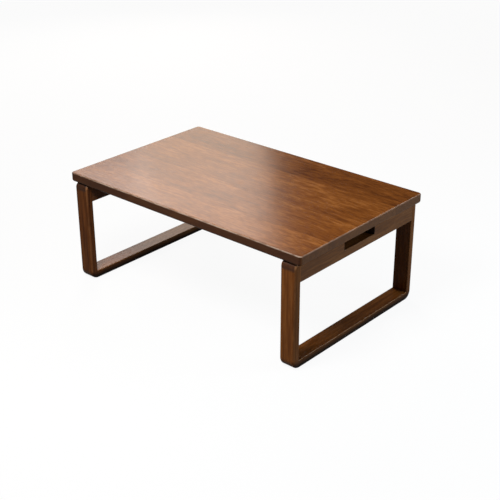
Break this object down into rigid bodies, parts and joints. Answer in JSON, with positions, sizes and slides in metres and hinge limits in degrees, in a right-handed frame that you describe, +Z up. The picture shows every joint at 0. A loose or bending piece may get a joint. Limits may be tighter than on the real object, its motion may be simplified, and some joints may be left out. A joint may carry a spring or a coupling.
{
  "type": "folding tea table",
  "caption": "Low oblong wooden tea table whose closed, round-cornered leg frames have a finger notch in the top rail and fold flat under the thick top.",
  "frame": {"origin": "on the floor under the middle of the top", "axes": "+X along the length towards the end shown with the notch, +Y from the near long edge to the far one, +Z up"},
  "size_m": [0.8, 0.5, 0.311],
  "materials": {
    "top_wood": "satin lacquer on walnut-stained wood",
    "frame_wood": "satin lacquer on walnut-stained wood",
    "dowel_wood": "plain beech",
    "hinge_steel": "dark bronze plating",
    "spring_steel": "brushed",
    "screw_steel": "zinc plated"
  },
  "bodies": {
    "table_top": {"tabletop": "top_wood", "hinge_top_leaf_left_front": "hinge_steel", "hinge_top_leaf_left_back": "hinge_steel", "hinge_pin_left_front": "hinge_steel", "hinge_pin_left_back": "hinge_steel", "hinge_top_screws_left": "screw_steel", "lock_spring_left": "spring_steel", "lock_spring_screws_left": "screw_steel", "hinge_top_leaf_right_front": "hinge_steel", "hinge_top_leaf_right_back": "hinge_steel", "hinge_pin_right_front": "hinge_steel", "hinge_pin_right_back": "hinge_steel", "hinge_top_screws_right": "screw_steel", "lock_spring_right": "spring_steel", "lock_spring_screws_right": "screw_steel"},
    "leg_frame_left": {"leg_post_left_front": "frame_wood", "leg_post_left_back": "frame_wood", "foot_rail_left": "frame_wood", "top_rail_left": "frame_wood", "foot_rail_dowels_left": "dowel_wood", "top_rail_dowels_left": "dowel_wood", "hinge_frame_leaf_left_front": "hinge_steel", "hinge_frame_leaf_left_back": "hinge_steel", "hinge_frame_screws_left": "screw_steel", "lock_strike_left": "hinge_steel", "lock_strike_screws_left": "screw_steel"},
    "leg_frame_right": {"leg_post_right_front": "frame_wood", "leg_post_right_back": "frame_wood", "foot_rail_right": "frame_wood", "top_rail_right": "frame_wood", "foot_rail_dowels_right": "dowel_wood", "top_rail_dowels_right": "dowel_wood", "hinge_frame_leaf_right_front": "hinge_steel", "hinge_frame_leaf_right_back": "hinge_steel", "hinge_frame_screws_right": "screw_steel", "lock_strike_right": "hinge_steel", "lock_strike_screws_right": "screw_steel"}
  },
  "joints": [
    {"name": "left_leg_fold", "type": "hinge", "parent": "table_top", "child": "leg_frame_left", "pos_m": [-0.3362, 0, 0.2817], "axis": [0, -1, 0], "range_deg": [0, 90], "deforming": ["lock_spring_left"]},
    {"name": "right_leg_fold", "type": "hinge", "parent": "table_top", "child": "leg_frame_right", "pos_m": [0.3362, 0, 0.2817], "axis": [0, 1, 0], "range_deg": [0, 90], "deforming": ["lock_spring_right"]}
  ]
}
